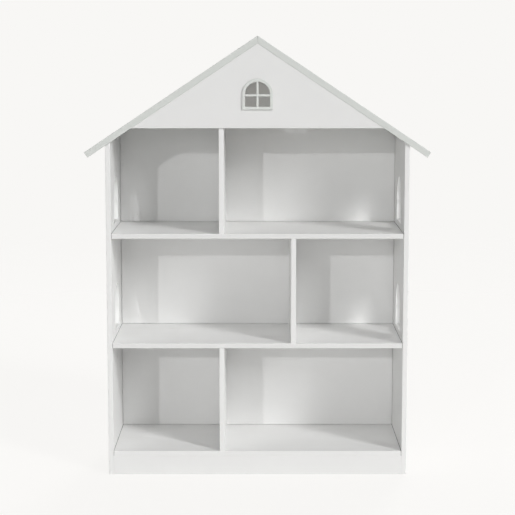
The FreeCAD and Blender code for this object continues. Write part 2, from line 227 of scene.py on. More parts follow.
def solids(node):
    """The separate solids of a CAD node, each as an array of its points: points at one place get
    one number, and the numbers of touching faces sink to their lowest until nothing changes."""
    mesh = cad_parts[node].data
    co = np.zeros(len(mesh.vertices) * 3, np.float32)
    mesh.vertices.foreach_get("co", co)
    mesh.calc_loop_triangles()
    tri = np.zeros(len(mesh.loop_triangles) * 3, np.int32)
    mesh.loop_triangles.foreach_get("vertices", tri)
    places, which = np.unique(np.round(co.reshape(-1, 3), 6), axis=0, return_inverse=True)
    tri = which.ravel()[tri].reshape(-1, 3)
    label = np.arange(len(places))
    while True:
        lowest = label[tri].min(axis=1)
        new = label.copy()
        np.minimum.at(new, tri.ravel(), np.repeat(lowest, 3))
        new = new[new]
        if (new == label).all():
            break
        label = new
    return [places[label == k] for k in np.unique(label)]


def turned_parts(node):
    """Start, direction and length of each of a node's rods or screws. The direction is the known
    one nearest to the points' longest spread, and a screw's start is at its head, where the
    points lie widest from the line."""
    found = []
    known = np.array([(1, 0, 0), (0, 1, 0), (0, 0, 1), (-math.sin(SLOPE), 0, math.cos(SLOPE)),
                      (math.sin(SLOPE), 0, math.cos(SLOPE))])
    for points in solids(node):
        apart = points - points.mean(0)
        longest = np.linalg.eigh(apart.T @ apart)[1][:, -1]
        d = known[np.abs(known @ longest).argmax()]
        flat = points - (points @ d)[:, None] * d
        middle = (flat.min(0) + flat.max(0)) / 2
        h = (points - middle) @ d
        out = np.linalg.norm(points - middle - h[:, None] * d, axis=1)
        half = (h.max() - h.min()) / 2
        shift = (h.max() + h.min()) / 2
        if out[h > shift].max() > out[h < shift].max() + 1e-5:
            d, shift = -d, -shift
        found.append((middle + d * (shift - half), d, 2 * half))
    return found


# ---------------------------------------------------------------- shader groups


def new_group(name, inputs, outputs):
    """An empty shader node group with the named input and output sockets."""
    group = bpy.data.node_groups.new(name, "ShaderNodeTree")
    for label, kind, value in inputs:
        socket = group.interface.new_socket(label, in_out="INPUT", socket_type=kind)
        socket.default_value = value
    for label, kind in outputs:
        group.interface.new_socket(label, in_out="OUTPUT", socket_type=kind)
    return group, group.nodes.new("NodeGroupInput"), group.nodes.new("NodeGroupOutput")


def wire(tree, *pairs):
    """Links each output socket to its input socket."""
    for source, target in pairs:
        tree.links.new(source, target)


def sum_of(tree, a, b, operation="ADD", clamp=False):
    """A Math node over two sockets or numbers; gives its output."""
    node = tree.nodes.new("ShaderNodeMath")
    node.operation = operation
    node.use_clamp = clamp
    for socket, value in zip(node.inputs, (a, b)):
        if isinstance(value, (int, float)):
            socket.default_value = value
        else:
            tree.links.new(value, socket)
    return node.outputs[0]


def noise(tree, vector, scale, detail=2.0, roughness=0.5):
    """A noise pattern of that many waves a metre; gives its value."""
    node = tree.nodes.new("ShaderNodeTexNoise")
    node.inputs["Scale"].default_value = scale
    node.inputs["Detail"].default_value = detail
    node.inputs["Roughness"].default_value = roughness
    tree.links.new(vector, node.inputs["Vector"])
    return node.outputs["Fac"]


def spread(tree, value, low, high, to_low=0.0, to_high=1.0, smooth=False):
    """A value mapped from low..high to to_low..to_high, clamped."""
    node = tree.nodes.new("ShaderNodeMapRange")
    node.interpolation_type = "SMOOTHSTEP" if smooth else "LINEAR"
    for label, number in (("From Min", low), ("From Max", high),
                          ("To Min", to_low), ("To Max", to_high)):
        node.inputs[label].default_value = number
    tree.links.new(value, node.inputs["Value"])
    return node.outputs["Result"]


def stretched(tree, vector, scale=(1, 1, 1), turn=(0, 0, 0), place=(0, 0, 0)):
    """Coordinates moved, turned and scaled by a Mapping node."""
    node = tree.nodes.new("ShaderNodeMapping")
    node.inputs["Location"].default_value = place
    node.inputs["Rotation"].default_value = turn
    node.inputs["Scale"].default_value = scale
    tree.links.new(vector, node.inputs["Vector"])
    return node.outputs["Vector"]


def lacquer_film():
    """Sprayed and rolled lacquer on fibreboard. Tone is slow unevenness of the coat, Sheen its
    gloss, and Height its orange peel, which is coarser and fibrous on the board's cut edges:
    where the surface turns away from the board's face direction. Edge marks those cut edges;
    it dulls their sheen, and the material paints them a darker colour, painted shade."""
    group, start, end = new_group(
        "Lacquer film",
        [("Coordinates", "NodeSocketVector", (0, 0, 0)), ("Face", "NodeSocketVector", (0, 0, 1)),
         ("Stipple", "NodeSocketFloat", 400.0)],
        [("Tone", "NodeSocketFloat"), ("Sheen", "NodeSocketFloat"), ("Edge", "NodeSocketFloat"),
         ("Height", "NodeSocketFloat")])
    at = start.outputs["Coordinates"]
    slow = noise(group, at, 5.0, 3.0, 0.55)
    bands = noise(group, stretched(group, at, place=(0.3, 0.1, 0.7)), 26.0)
    tone = sum_of(group, sum_of(group, slow, 0.7, "MULTIPLY"),
                  sum_of(group, bands, 0.3, "MULTIPLY"))
    wire(group, (spread(group, tone, 0.3, 0.7), end.inputs["Tone"]))

    geometry = group.nodes.new("ShaderNodeNewGeometry")
    dot = group.nodes.new("ShaderNodeVectorMath")
    dot.operation = "DOT_PRODUCT"
    wire(group, (geometry.outputs["True Normal"], dot.inputs[0]),
         (start.outputs["Face"], dot.inputs[1]))
    facing = sum_of(group, dot.outputs["Value"], 0.0, "ABSOLUTE")
    edge = spread(group, facing, 0.55, 0.9, 1.0, 0.0, smooth=True)
    wire(group, (edge, end.inputs["Edge"]))

    peel = group.nodes.new("ShaderNodeTexNoise")
    peel.inputs["Detail"].default_value = 2.0
    peel.inputs["Roughness"].default_value = 0.45
    wire(group, (at, peel.inputs["Vector"]), (start.outputs["Stipple"], peel.inputs["Scale"]))
    fibre = noise(group, at, 1100.0, 3.0, 0.7)
    waves = noise(group, at, 38.0, 2.0, 0.4)
    height = sum_of(group, sum_of(group, waves, 2.2, "MULTIPLY"), peel.outputs["Fac"])
    height = sum_of(group, height, sum_of(group, sum_of(group, fibre, edge, "MULTIPLY"), 0.8,
                                          "MULTIPLY"))
    wire(group, (height, end.inputs["Height"]))
    sheen = sum_of(group, sum_of(group, noise(group, at, 60.0, 3.0), 0.6, "MULTIPLY"),
                   sum_of(group, slow, 0.4, "MULTIPLY"))
    sheen = sum_of(group, spread(group, sheen, 0.3, 0.7), sum_of(group, edge, 0.45, "MULTIPLY"),
                   "SUBTRACT", clamp=True)
    wire(group, (sheen, end.inputs["Sheen"]))
    return group


def wood_grain():
    """Growth rings cut lengthwise. The distance from a pith line beside the piece, bent by slow
    noise, runs through a saw-like wave for early and late wood; Fibre is noise drawn out along
    the length, and Pore its darkest streaks."""
    group, start, end = new_group(
        "Wood grain",
        [("Along", "NodeSocketVector", (0, 0, 0)), ("Rings", "NodeSocketFloat", 260.0)],
        [("Late", "NodeSocketFloat"), ("Fibre", "NodeSocketFloat"), ("Pore", "NodeSocketFloat"),
         ("Height", "NodeSocketFloat")])
    at = start.outputs["Along"]
    bend = noise(group, stretched(group, at, (1.6, 8.0, 8.0)), 1.0, 2.0)
    parts = group.nodes.new("ShaderNodeSeparateXYZ")
    wire(group, (at, parts.inputs[0]))
    y = sum_of(group, parts.outputs["Y"], 0.021)
    z = sum_of(group, parts.outputs["Z"], -0.034)
    away = sum_of(group, sum_of(group, sum_of(group, y, y, "MULTIPLY"),
                                sum_of(group, z, z, "MULTIPLY")), 0.5, "POWER")
    away = sum_of(group, away, sum_of(group, bend, 0.016, "MULTIPLY"))
    turn = sum_of(group, sum_of(group, away, start.outputs["Rings"], "MULTIPLY"), 1.0, "MODULO")
    late = spread(group, turn, 0.35, 0.92, smooth=True)
    late = sum_of(group, late, spread(group, turn, 0.93, 1.0), "SUBTRACT", clamp=True)
    fibre = noise(group, stretched(group, at, (14.0, 900.0, 900.0)), 1.0, 3.0, 0.6)
    pore = spread(group, noise(group, stretched(group, at, (40.0, 1600.0, 1600.0)), 1.0, 2.0),
                  0.62, 0.74)
    wire(group, (late, end.inputs["Late"]), (fibre, end.inputs["Fibre"]),
         (pore, end.inputs["Pore"]))
    height = sum_of(group, fibre, sum_of(group, late, 0.35, "MULTIPLY"))
    wire(group, (sum_of(group, height, pore, "SUBTRACT"), end.inputs["Height"]))
    return group


def metal_grain():
    """Plated or cast metal: Tint is the slow clouding of the plate, Sheen its fine frosting,
    Height its small pits."""
    group, start, end = new_group(
        "Metal grain", [("Coordinates", "NodeSocketVector", (0, 0, 0))],
        [("Tint", "NodeSocketFloat"), ("Sheen", "NodeSocketFloat"), ("Height", "NodeSocketFloat")])
    at = start.outputs["Coordinates"]
    wire(group, (spread(group, noise(group, at, 260.0, 2.0), 0.3, 0.7), end.inputs["Tint"]),
         (spread(group, noise(group, at, 2400.0, 3.0, 0.6), 0.3, 0.7), end.inputs["Sheen"]),
         (noise(group, at, 3200.0, 2.0, 0.6), end.inputs["Height"]))
    return group


def group_named(name, make):
    """The shader group of that name, built on first use."""
    return bpy.data.node_groups.get(name) or make()


# ---------------------------------------------------------------- materials


def made_once(make):
    """The material of the name that comes first, made on first use."""
    @functools.wraps(make)
    def named(name, *details):
        return bpy.data.materials.get(name) or make(name, *details)
    return named


def new_material(name, shade):
    """A material with a Principled shader, and the Object coordinates that its patterns read."""
    material = bpy.data.materials.new(name)
    material.use_nodes = True
    material.diffuse_color = (*shade, 1.0)
    tree = material.node_tree
    shader = tree.nodes["Principled BSDF"]
    place = tree.nodes.new("ShaderNodeTexCoord").outputs["Object"]
    return material, tree, shader, place


def grouped(tree, group):
    """The group placed in a material's tree."""
    node = tree.nodes.new("ShaderNodeGroup")
    node.node_tree = group
    return node


def blended(tree, factor, first, second, target):
    """Two colours mixed by a factor that changes over the surface, into a colour socket."""
    mix = tree.nodes.new("ShaderNodeMix")
    mix.data_type = "RGBA"
    mix.inputs["A"].default_value = (*first, 1.0)
    mix.inputs["B"].default_value = (*second, 1.0)
    wire(tree, (factor, mix.inputs["Factor"]), (mix.outputs["Result"], target))
    return mix


def relief(tree, shader, height, depth):
    """A Bump node that turns a height of 0..1 into depth metres of relief."""
    bump = tree.nodes.new("ShaderNodeBump")
    bump.inputs["Strength"].default_value = 1.0
    bump.inputs["Distance"].default_value = depth
    wire(tree, (height, bump.inputs["Height"]), (bump.outputs["Normal"], shader.inputs["Normal"]))


def shaded(base, factor):
    """A colour made lighter or darker."""
    return tuple(min(1.0, c * factor) for c in base)


def joint_shadow_line():
    """A painted shadow line where a board butts against its neighbours, for the shade in the crack
    between them: Mask is 1 where the distance across from the middle is within Width of Reach."""
    group, start, end = new_group(
        "Joint line",
        [("Coordinates", "NodeSocketVector", (0, 0, 0)), ("Reach", "NodeSocketFloat", 0.351),
         ("Width", "NodeSocketFloat", 0.0014)],
        [("Mask", "NodeSocketFloat")])
    parts = group.nodes.new("ShaderNodeSeparateXYZ")
    wire(group, (start.outputs["Coordinates"], parts.inputs[0]))
    away = sum_of(group, parts.outputs["X"], 0.0, "ABSOLUTE")
    inside = sum_of(group, start.outputs["Reach"], away, "SUBTRACT")
    uneven = spread(group, noise(group, start.outputs["Coordinates"], 90.0, 2.0), 0.3, 0.7,
                    0.8, 1.25)
    share = sum_of(group, inside, sum_of(group, start.outputs["Width"], uneven, "MULTIPLY"),
                   "DIVIDE")
    wire(group, (spread(group, share, 0.55, 1.0, 1.0, 0.0, smooth=True), end.inputs["Mask"]))
    return group


COAT_TONES = (0.985, 1.012)             # the coat's patches, darkest and lightest, in its colour
JOINT_SHADOW_COLOUR = (0.12, 0.12, 0.115)      # painted shadow in the crack of a butt joint
REVEAL_REACH = (0.10, 0.11)             # metres from the middle of the depth where the reveals' painted light ends
PEEL_RELIEF, GRAIN_RELIEF = 0.035 * MM, 0.06 * MM
PLATE_RELIEF, CAST_RELIEF = 0.01 * MM, 0.03 * MM
DULLING = 0.12                          # rise in roughness where the lacquer is dullest


@made_once
def lacquer(name, shade, face, edge=None, joint=0.0, reveal=None):
    """Satin lacquer whose film pattern knows the board's face direction. Cut edges take a darker
    colour, painted shade; edges well inside the depth, the window reveals, take a lighter one,
    painted light; and where a distance is given, a painted shadow line lies at it to both sides."""
    sizes = bpy.context.scene.dollhouse_finishes
    material, tree, shader, place = new_material(name, shade)
    film = grouped(tree, group_named("Lacquer film", lacquer_film))
    film.inputs["Face"].default_value = face
    film.inputs["Stipple"].default_value = 1.0 / sizes.stipple
    wire(tree, (place, film.inputs["Coordinates"]))
    coat = tree.nodes.new("ShaderNodeMix")
    coat.data_type = "RGBA"
    for label, tone in zip("AB", COAT_TONES):
        coat.inputs[label].default_value = (*shaded(shade, tone), 1.0)
    wire(tree, (film.outputs["Tone"], coat.inputs["Factor"]))
    target = shader.inputs["Base Color"]
    # Painted shadow: a dark line at the shelf's two ends, for the shade in the crack where it meets
    # the side panels.
    if joint:
        line = grouped(tree, group_named("Joint line", joint_shadow_line))
        line.inputs["Reach"].default_value = joint
        wire(tree, (place, line.inputs["Coordinates"]))
        dark = blended(tree, sum_of(tree, line.outputs["Mask"], 0.9, "MULTIPLY"), shade,
                       JOINT_SHADOW_COLOUR, target)
        target = dark.inputs["A"]
    # Painted shade: cut edges take the edge colour, darker than the face, or 4 % darker where none
    # is given.
    cut = blended(tree, film.outputs["Edge"], shade, edge or shaded(shade, 0.96), target)
    # Painted light: edges within REVEAL_REACH of the middle of the depth, the side windows'
    # reveals, take the lighter reveal colour.
    if reveal:
        depth = tree.nodes.new("ShaderNodeSeparateXYZ")
        wire(tree, (place, depth.inputs[0]))
        away = sum_of(tree, depth.outputs["Y"], 0.0, "ABSOLUTE")
        blended(tree, spread(tree, away, *REVEAL_REACH, 1.0, 0.0), edge, reveal, cut.inputs["B"])
    wire(tree, (coat.outputs["Result"], cut.inputs["A"]),
         (spread(tree, film.outputs["Sheen"], 0.0, 1.0, sizes.satin + DULLING, sizes.satin),
          shader.inputs["Roughness"]))
    relief(tree, shader, film.outputs["Height"], PEEL_RELIEF)
    shader.inputs["Specular IOR Level"].default_value = 0.42
    return material


@made_once
def bare_wood(name, shade, turn, rings=260.0, late=0.72):
    """Planed wood whose grain runs along X once turned."""
    material, tree, shader, place = new_material(name, shade)
    grain = grouped(tree, group_named("Wood grain", wood_grain))
    grain.inputs["Rings"].default_value = rings
    wire(tree, (stretched(tree, place, turn=turn), grain.inputs["Along"]))
    early_late = tree.nodes.new("ShaderNodeMix")
    early_late.data_type = "RGBA"
    early_late.inputs["A"].default_value = (*shaded(shade, 1.08), 1.0)
    early_late.inputs["B"].default_value = (shade[0] * late, shade[1] * late * 0.86,
                                            shade[2] * late * 0.66, 1.0)
    wire(tree, (sum_of(tree, grain.outputs["Late"], 0.8, "MULTIPLY"),
                early_late.inputs["Factor"]))
    streaks = blended(tree, sum_of(tree, grain.outputs["Fibre"], 0.35, "MULTIPLY"), (1, 1, 1),
                      (shade[0] * 0.6, shade[1] * 0.5, shade[2] * 0.4),
                      shader.inputs["Base Color"])
    wire(tree, (early_late.outputs["Result"], streaks.inputs["A"]),
         (spread(tree, grain.outputs["Fibre"], 0.2, 0.8, 0.62, 0.78),
          shader.inputs["Roughness"]))
    relief(tree, shader, grain.outputs["Height"], GRAIN_RELIEF)
    shader.inputs["Specular IOR Level"].default_value = 0.3
    return material


@made_once
def metal(name, shade, rough, depth):
    """Plated or cast metal."""
    material, tree, shader, place = new_material(name, shade)
    grain = grouped(tree, group_named("Metal grain", metal_grain))
    wire(tree, (place, grain.inputs["Coordinates"]))
    blended(tree, grain.outputs["Tint"], shaded(shade, 0.92),
            (shade[0] * 1.02, shade[1] * 1.04, min(1.0, shade[2] * 1.10)),
            shader.inputs["Base Color"])
    wire(tree, (spread(tree, grain.outputs["Sheen"], 0.0, 1.0, rough - 0.07, rough + 0.09),
                shader.inputs["Roughness"]))
    relief(tree, shader, grain.outputs["Height"], depth)
    shader.inputs["Metallic"].default_value = 1.0
    return material


@made_once
def moulded_plastic(name, shade):
    """Fine-grained moulded plastic."""
    material, tree, shader, place = new_material(name, shade)
    grain = grouped(tree, group_named("Metal grain", metal_grain))
    wire(tree, (place, grain.inputs["Coordinates"]))
    blended(tree, grain.outputs["Tint"], shaded(shade, 0.98), shaded(shade, 1.01),
            shader.inputs["Base Color"])
    wire(tree, (spread(tree, grain.outputs["Sheen"], 0.0, 1.0, 0.38, 0.48),
                shader.inputs["Roughness"]))
    relief(tree, shader, grain.outputs["Height"], PLATE_RELIEF)
    return material


def finish_node(node, material):
    """A CAD node keeps its mesh and takes a material."""
    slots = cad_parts[node].material_slots
    if not slots:
        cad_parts[node].data.materials.append(material)
    for held in slots:
        held.material = material


FACES = {"across": (1.0, 0.0, 0.0), "deep": (0.0, 1.0, 0.0), "up": (0.0, 0.0, 1.0)}


def white(direction, kind="white", edge="front_white", joint=0.0, reveal=None):
    """White lacquer of that kind for boards that face across, into the depth, or up. Kinds other
    than plain white are lit or shaded copies of it, painted light and shade.
    """
    sizes = bpy.context.scene.dollhouse_finishes
    return lacquer(f"Lacquer, {kind} and {edge}, facing {direction}", tuple(getattr(sizes, kind)),
                   FACES[direction], tuple(getattr(sizes, edge)), joint, reveal)


# ---------------------------------------------------------------- pieces


class DollhouseUprights(Operator):
    """Lacquers the side panels and the dividers."""

    bl_idname = "dollhouse.uprights"
    bl_label = "Side Panels and Dividers"

    def execute(self, context):
        # The reveals inside the side windows get the lighter reveal white, painted light.
        for node in ("left_side_panel", "right_side_panel", "lower_divider", "middle_divider",
                     "upper_divider"):
            finish_node(node, white("across", reveal=tuple(
                context.scene.dollhouse_finishes.reveal_lit_white)))
        return {"FINISHED"}


class DollhouseShelves(Operator):
    """Lacquers the bottom, middle and upper shelves."""

    bl_idname = "dollhouse.shelves"
    bl_label = "Shelves"

    def execute(self, context):
        # Shelf tops take the lighter shelf white, painted light; their front edges take the darker
        # front and edge whites, painted shade.
        for node, edge in (("bottom_shelf", "front_white"), ("middle_shelf", "edge_white"),
                           ("upper_shelf", "edge_white")):
            finish_node(node, white("up", "shelf_white", edge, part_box(node)[1].x))
        return {"FINISHED"}


class DollhouseBacks(Operator):
    """Lacquers the back panels, the gable and both plinth boards."""

    bl_idname = "dollhouse.backs"
    bl_label = "Backs, Gable and Plinth"

    def execute(self, context):
        for node in ("lower_back_panel", "middle_back_panel", "upper_back_panel"):
            finish_node(node, white("deep"))
        # The plinth boards take the darker front white, painted shade.
        for node in ("plinth_front", "plinth_rear"):
            finish_node(node, white("deep", "front_white"))
        # The gable takes the darker gable white, painted shade.
        finish_node("gable_panel", white("deep", "gable_white"))
        return {"FINISHED"}


class DollhouseRoof(Operator):
    """Lacquers the two roof boards grey, each across its own slope."""

    bl_idname = "dollhouse.roof"
    bl_label = "Roof Boards"

    def execute(self, context):
        grey = tuple(context.scene.dollhouse_finishes.grey)
        for side, sign in SIDES.items():
            face = (sign * math.sin(SLOPE), 0.0, math.cos(SLOPE))
            finish_node("roof_" + side, lacquer("Grey lacquer, roof " + side, grey, face))
        return {"FINISHED"}


def window_surfaces(opening, ring, bar, back, front, edge, steps, place):
    """A ring and two glazing bars. The ring is the point (w x, w y, h) where (x, y) runs round
    the arch outline of half width 1 and the pair (w, h) round the ring's rounded cross section,
    with w the half opening plus the way across the ring. Each bar is its cross section carried
    in a straight line, with its ends inside the ring and the level bar let a little into the
    upright one. place turns (across, up, out) into the frame's own X, Y, Z."""
    half = opening / 2
    section = rounded([(half, back), (half, front), (half + ring, front), (half + ring, back)],
                      [edge * 0.3, edge, edge, edge * 0.3])
    outline = arch_outline(steps)
    ring_points = np.concatenate(
        [outline[:, None, :] * section[None, :, :1],
         np.broadcast_to(section[None, :, 1:], (len(outline), len(section), 1))], -1)
    surfaces = [(place(ring_points), True, True)]
    reach = half + ring * 0.5
    for upright, inset in ((True, 0.08), (False, 0.14)):
        low, high = back + inset * (front - back), front - inset * (front - back)
        cross = rounded([(-bar / 2, low), (-bar / 2, high), (bar / 2, high), (bar / 2, low)],
                        [edge * 0.3, edge * 0.5, edge * 0.5, edge * 0.3])
        run = np.linspace(-reach, reach, 13)
        sizes = np.concatenate([[0.0], np.ones(len(run)), [0.0]])
        run = np.concatenate([run[:1], run, run[-1:]])
        across = cross[None, :, 0] * sizes[:, None]
        out = (low + high) / 2 + (cross[None, :, 1] - (low + high) / 2) * sizes[:, None]
        along = np.broadcast_to(run[:, None], across.shape)
        if upright:
            points = np.stack([across, along, out], -1)
        else:
            points = np.stack([along, across - bar / 2, out], -1)
        surfaces.append((place(points), False, True))
    return surfaces


class DollhouseWindowFrames(Operator):
    """Makes the five arched window frames with their glazing bars."""

    bl_idname = "dollhouse.window_frames"
    bl_label = "Window Frames"

    def execute(self, context):
        sizes = context.scene.dollhouse_windows
        grey = tuple(context.scene.dollhouse_finishes.frames)
        for side, sign in SIDES.items():
            for storey in ("middle", "upper"):
                node = f"{side}_{storey}_window_frame"
                low, high = (np.array(corner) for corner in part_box(node))
                outer, inner = (low[0], high[0]) if sign < 0 else (high[0], low[0])
                spring = low[2] + sizes.side_opening / 2 + sizes.side_ring
                middle = (low[1] + high[1]) / 2
                surfaces = window_surfaces(
                    sizes.side_opening, sizes.side_ring, sizes.side_bar, 0.0,
                    abs(outer - inner), sizes.edge, sizes.steps,
                    lambda p: np.stack([inner + sign * p[..., 2], middle + p[..., 0],
                                        spring + p[..., 1]], -1))
                piece(f"{side}_{storey}_window", surfaces, node,
                      lacquer("Grey lacquer, side windows", grey, FACES["across"]))
        node = "gable_window_frame"
        low, high = (np.array(corner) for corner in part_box(node))
        spring = low[2] + sizes.gable_opening / 2 + sizes.gable_ring
        surfaces = window_surfaces(
            sizes.gable_opening, sizes.gable_ring, sizes.gable_bar, 0.0, high[1] - low[1],
            sizes.edge, sizes.steps,
            lambda p: np.stack([p[..., 0], high[1] - p[..., 2], spring + p[..., 1]], -1))
        piece("gable_window", surfaces, node,
              lacquer("Grey lacquer, gable window", grey, FACES["deep"]))
        return {"FINISHED"}


class DollhouseBattens(Operator):
    """Gives the ridge batten, gable battens and glue blocks their pine grain."""

    bl_idname = "dollhouse.battens"
    bl_label = "Battens and Blocks"

    def execute(self, context):
        pine = tuple(context.scene.dollhouse_finishes.pine)
        finish_node("ridge_batten", bare_wood("Pine, ridge", pine, (0.0, 0.0, -math.pi / 2)))
        finish_node("plinth_blocks", bare_wood("Pine, blocks", pine, (0.0, math.pi / 2, 0.0)))
        for side, sign in SIDES.items():
            finish_node("gable_batten_" + side,
                        bare_wood("Pine, batten " + side, pine, (0.0, -sign * SLOPE, 0.0)))
        return {"FINISHED"}


def eased(x):
    """The smooth step 3 x^2 - 2 x^3 of x held between 0 and 1."""
    x = np.clip(x, 0.0, 1.0)
    return x * x * (3 - 2 * x)


def thread(h, angle, pitch, core, crest):
    """Radius of a screw thread: a ridge from core to crest that climbs one pitch a turn."""
    share = (h / pitch - angle / (2 * math.pi)) % 1.0
    return core + (crest - core) * np.clip(1.0 - np.abs(2 * share - 1) * 1.7, 0.0, 1.0)


def turned(start, direction, radius, h, steps):
    """Points at radius(angle) from the line through start, h along it: the radius array has one
    row for each h and one column for each angle."""
    d = np.array(direction, float)
    u = np.cross(d, [0.0, 0.0, 1.0] if abs(d[2]) < 0.9 else [1.0, 0.0, 0.0])
    u /= np.linalg.norm(u)
    v = np.cross(d, u)
    a = np.linspace(0.0, 2 * math.pi, steps, endpoint=False)[None, :, None]
    return start + radius[..., None] * (np.cos(a) * u + np.sin(a) * v) + h[..., None] * d


def lathe(profile, start, direction, steps):
    """A profile of (distance from the line, height along it) pairs turned about the line."""
    spun = [np.broadcast_to(column[:, None], (len(profile), steps)) for column in profile.T]
    return turned(start, direction, *spun, steps)


def screw(start, direction, total, head, neck, dome, flange, sizes, steps=48):
    """A cross-recessed screw. Its head is the height dome (r / head)^2, less the recess: depth
    where the smaller of |x| and |y| is within an arm and the larger within the arms' reach. Below
    the head, the radius follows the thread and closes to the point over the last 4 mm."""
    a = np.linspace(0.0, 2 * math.pi, steps, endpoint=False)[None, :]
    r = np.linspace(0.0, head, 18)[:, None] + 0 * a
    x, y = np.abs(r * np.cos(a)), np.abs(r * np.sin(a))
    arm, reach = head * 0.17, head * 0.66
    cross = eased((arm - np.minimum(x, y)) / (0.10 * head) + 0.5)
    cross = cross * eased((reach - np.maximum(x, y)) / (0.22 * head) + 0.5)
    top = dome * (r / head) ** 2 + sizes.recess * cross
    rim = np.array([[head, dome + flange], [neck, dome + flange + (head - neck) * 0.62]])
    if dome:
        rim[1, 1] = rim[0, 1]
    count = int((total - rim[1, 1]) / sizes.pitch * 5)
    h = np.linspace(rim[1, 1] + 0.3 * MM, total, count)[:, None] + 0 * a
    body = thread(h, a, sizes.pitch, neck * 0.70, neck)
    body = body * np.clip((total - h) / (4.0 * MM), 0.0, 1.0) ** 0.8
    radius = np.concatenate([r, np.broadcast_to(rim[:, :1], (2, steps)), body])
    height = np.concatenate([top, np.broadcast_to(rim[:, 1:], (2, steps)), h])
    return turned(start, direction, radius, height, steps), False, True


def dowel(start, direction, total, radius, sizes):
    """A fluted dowel: radius less a cosine of the angle for each flute, with coned ends."""
    steps = sizes.flutes * 6
    a = np.linspace(0.0, 2 * math.pi, steps, endpoint=False)[None, :]
    cone = 1.0 * MM
    h = np.array([0.0, 0.0, cone, 2 * cone, total / 2, total - 2 * cone, total - cone, total,
                  total])[:, None] + 0 * a
    size = np.array([0.0, 0.76, 0.985, 1.0, 1.0, 1.0, 0.985, 0.76, 0.0])[:, None] + 0 * a
    body = size * (radius - sizes.flute_depth * (0.5 + 0.5 * np.cos(a * sizes.flutes)))
    return turned(start, direction, body, h, steps), False, True


def bolt(start, direction, total, steps=36):
    """A cam bolt: ball-edged head, thin neck, collar and coarse thread."""
    a = np.linspace(0.0, 2 * math.pi, steps, endpoint=False)[None, :]
    collar = total - 8.0 * MM
    shape = np.array([(0.0, 0.0), (2.2, 0.1), (2.8, 0.5), (3.0, 1.1), (3.0, 1.9), (2.8, 2.5),
                      (2.2, 2.9), (1.5, 3.2)]) * MM
    ends = np.array([(1.5 * MM, collar - 1.6 * MM), (2.9 * MM, collar - 1.3 * MM),
                     (3.0 * MM, collar - 1.1 * MM), (3.0 * MM, collar - 0.3 * MM),
                     (2.0 * MM, collar)])
    h = np.linspace(collar + 0.3 * MM, total - 0.1 * MM, 30)[:, None] + 0 * a
    body = thread(h, a, 1.8 * MM, 1.9 * MM, 2.5 * MM)
    body = body * np.clip((total - h) / (1.2 * MM), 0.3, 1.0) ** 0.5
    rows = np.concatenate([shape, ends])
    radius = np.concatenate([np.broadcast_to(rows[:, :1], (len(rows), steps)), body, 0 * a])
    height = np.concatenate([np.broadcast_to(rows[:, 1:], (len(rows), steps)), h,
                             total + 0 * a])
    return turned(start, direction, radius, height, steps), False, True


class DollhouseCams(Operator):
    """Makes the cam bolts and covers, and finishes the cam locks."""

    bl_idname = "dollhouse.cams"
    bl_label = "Cam Locks, Bolts and Covers"

    def execute(self, context):
        colours = context.scene.dollhouse_finishes
        piece("cam_bolt_set", [bolt(*part) for part in turned_parts("cam_bolts")], "cam_bolts",
              metal("Zinc plate", tuple(colours.zinc), 0.30, PLATE_RELIEF))
        finish_node("cam_locks", metal("Cast zinc", tuple(colours.cast), 0.48, CAST_RELIEF))
        lid = np.array([(0.0, 1.02), (0.9, 1.02), (1.3, 1.2), (5.6, 1.17), (7.1, 1.06),
                        (7.7, 0.8), (8.0, 0.35), (7.95, 0.02), (1.5, 0.0), (1.35, -1.1),
                        (0.0, -1.15)]) * MM
        covers = []
        for points in solids("cam_caps"):
            middle = (points.min(0) + points.max(0)) / 2
            covers.append((lathe(lid, middle, (0.0, 0.0, -1.0), 48), False, True))
        piece("cam_cover_set", covers, "cam_caps",
              moulded_plastic("Cover plastic", tuple(colours.plastic)))
        return {"FINISHED"}


class DollhouseDowels(Operator):
    """Makes the fluted dowels of the shelves, plinth, dividers and roof."""

    bl_idname = "dollhouse.dowels"
    bl_label = "Dowels"

    def execute(self, context):
        sizes = context.scene.dollhouse_fittings
        beech = tuple(context.scene.dollhouse_finishes.beech)
        turns = {"shelf": (0.0, 0.0, 0.0), "plinth": (0.0, 0.0, 0.0), "ridge": (0.0, 0.0, 0.0),
                 "divider": (0.0, math.pi / 2, 0.0), "roof": (0.0, math.pi / 2, 0.0)}
        for name, turn in turns.items():
            parts = turned_parts(name + "_dowels")
            radius = (2.5 if name == "ridge" else 3.0) * MM
            piece(name + "_dowel_set", [dowel(*part, radius, sizes) for part in parts],
                  name + "_dowels",
                  bare_wood("Beech, " + name, beech, turn, 420.0, 0.86))
        return {"FINISHED"}


class DollhouseScrews(Operator):
    """Makes the cross-recessed screws of the battens and back panels."""

    bl_idname = "dollhouse.screws"
    bl_label = "Screws"

    def execute(self, context):
        sizes = context.scene.dollhouse_fittings
        zinc = metal("Zinc plate", tuple(context.scene.dollhouse_finishes.zinc), 0.30,
                     PLATE_RELIEF)
        for name, head, neck, dome, flange in (
                ("back_panel", 3.25, 1.5, 0.9, 1.1), ("ridge", 3.5, 1.75, 0.0, 0.25),
                ("gable_batten", 3.5, 1.75, 0.0, 0.25)):
            node = name + "_screws"
            surfaces = [screw(*part, head * MM, neck * MM, dome * MM, flange * MM, sizes)
                        for part in turned_parts(node)]
            piece(name + "_screw_set", surfaces, node, zinc)
        return {"FINISHED"}


# ---------------------------------------------------------------- studio


